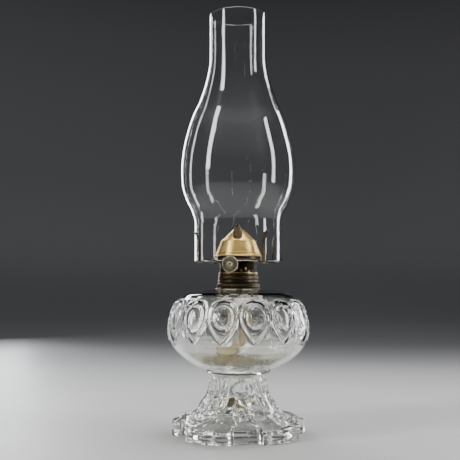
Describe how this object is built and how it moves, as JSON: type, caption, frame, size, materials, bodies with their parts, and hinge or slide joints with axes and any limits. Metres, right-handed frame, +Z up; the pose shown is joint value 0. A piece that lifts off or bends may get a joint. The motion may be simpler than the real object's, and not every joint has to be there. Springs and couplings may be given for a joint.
{
  "type": "oil lamp",
  "caption": "Pressed glass stand oil lamp with a lobed foot, ringed font, flat-wick brass prong burner, winding wheel and a bulged clear glass chimney.",
  "frame": {"origin": "centre of the foot's resting face", "axes": "+Z up along the lamp's axis; the winding shaft points along -Y"},
  "size_m": [0.1212, 0.1212, 0.365],
  "materials": {
    "pressed_glass": "thick clear pressed glass, faint grey-amber cast",
    "chimney_glass": "thin clear blown glass, faint blue-green edge",
    "plaster": "matt cream plaster, stained",
    "aged_brass": "dark tarnished brass, satin, brighter on edges",
    "burner_brass": "dull yellow brass",
    "gilt_brass": "bright yellow brass, heat stained",
    "wheel_brass": "grey-brown worn brass",
    "cotton_wick": "woven cotton tape, oil-yellowed, charred at its edge"
  },
  "bodies": {
    "lamp_base": {"foot": "pressed_glass", "font": "pressed_glass", "collar_cement": "plaster", "collar": "aged_brass"},
    "screw_ring": {"screw_shell": "burner_brass"},
    "burner": {"draught_cup": "aged_brass", "air_diffuser": "burner_brass", "wick_tube": "burner_brass", "vapour_tube": "burner_brass", "sprocket_housing": "burner_brass", "shaft_bushing": "burner_brass", "gallery_plate": "aged_brass", "prong_1": "aged_brass", "prong_2": "aged_brass", "prong_3": "aged_brass", "prong_4": "aged_brass", "prong_rivets": "burner_brass", "deflector_dome": "gilt_brass"},
    "winder": {"winding_shaft": "burner_brass", "sprocket_1": "burner_brass", "sprocket_2": "burner_brass", "sprocket_3": "burner_brass", "sprocket_4": "burner_brass", "thumbwheel": "wheel_brass", "shaft_rivet": "wheel_brass"},
    "wick_tape": {"wick": "cotton_wick", "wick_tail": "cotton_wick"},
    "glass_chimney": {"chimney": "chimney_glass"}
  },
  "joints": [
    {"name": "burner_rise", "type": "slide", "parent": "lamp_base", "child": "screw_ring", "axis": [0, 0, 1], "range_m": [0, 0.0054]},
    {"name": "burner_unscrew", "type": "hinge", "parent": "screw_ring", "child": "burner", "pos_m": [0, 0, 0.137], "axis": [0, 0, 1], "range_deg": [0, 1080.1]},
    {"name": "wick_wheel", "type": "hinge", "parent": "burner", "child": "winder", "pos_m": [-0.0045, 0, 0.1436], "axis": [0, -1, 0], "range_deg": [-56, 167]},
    {"name": "wick_raise", "type": "slide", "parent": "burner", "child": "wick_tape", "axis": [0, 0, 1], "range_m": [-0.003, 0.009], "deforming": ["wick_tail"]},
    {"name": "chimney_lift", "type": "slide", "parent": "burner", "child": "glass_chimney", "axis": [0, 0, 1], "range_m": [0, 0.05]}
  ],
  "couplings": [
    {"joint": "burner_unscrew", "follows": "burner_rise", "rad_per_m": 3490.7},
    {"joint": "wick_wheel", "follows": "wick_raise", "rad_per_m": 322.58}
  ]
}
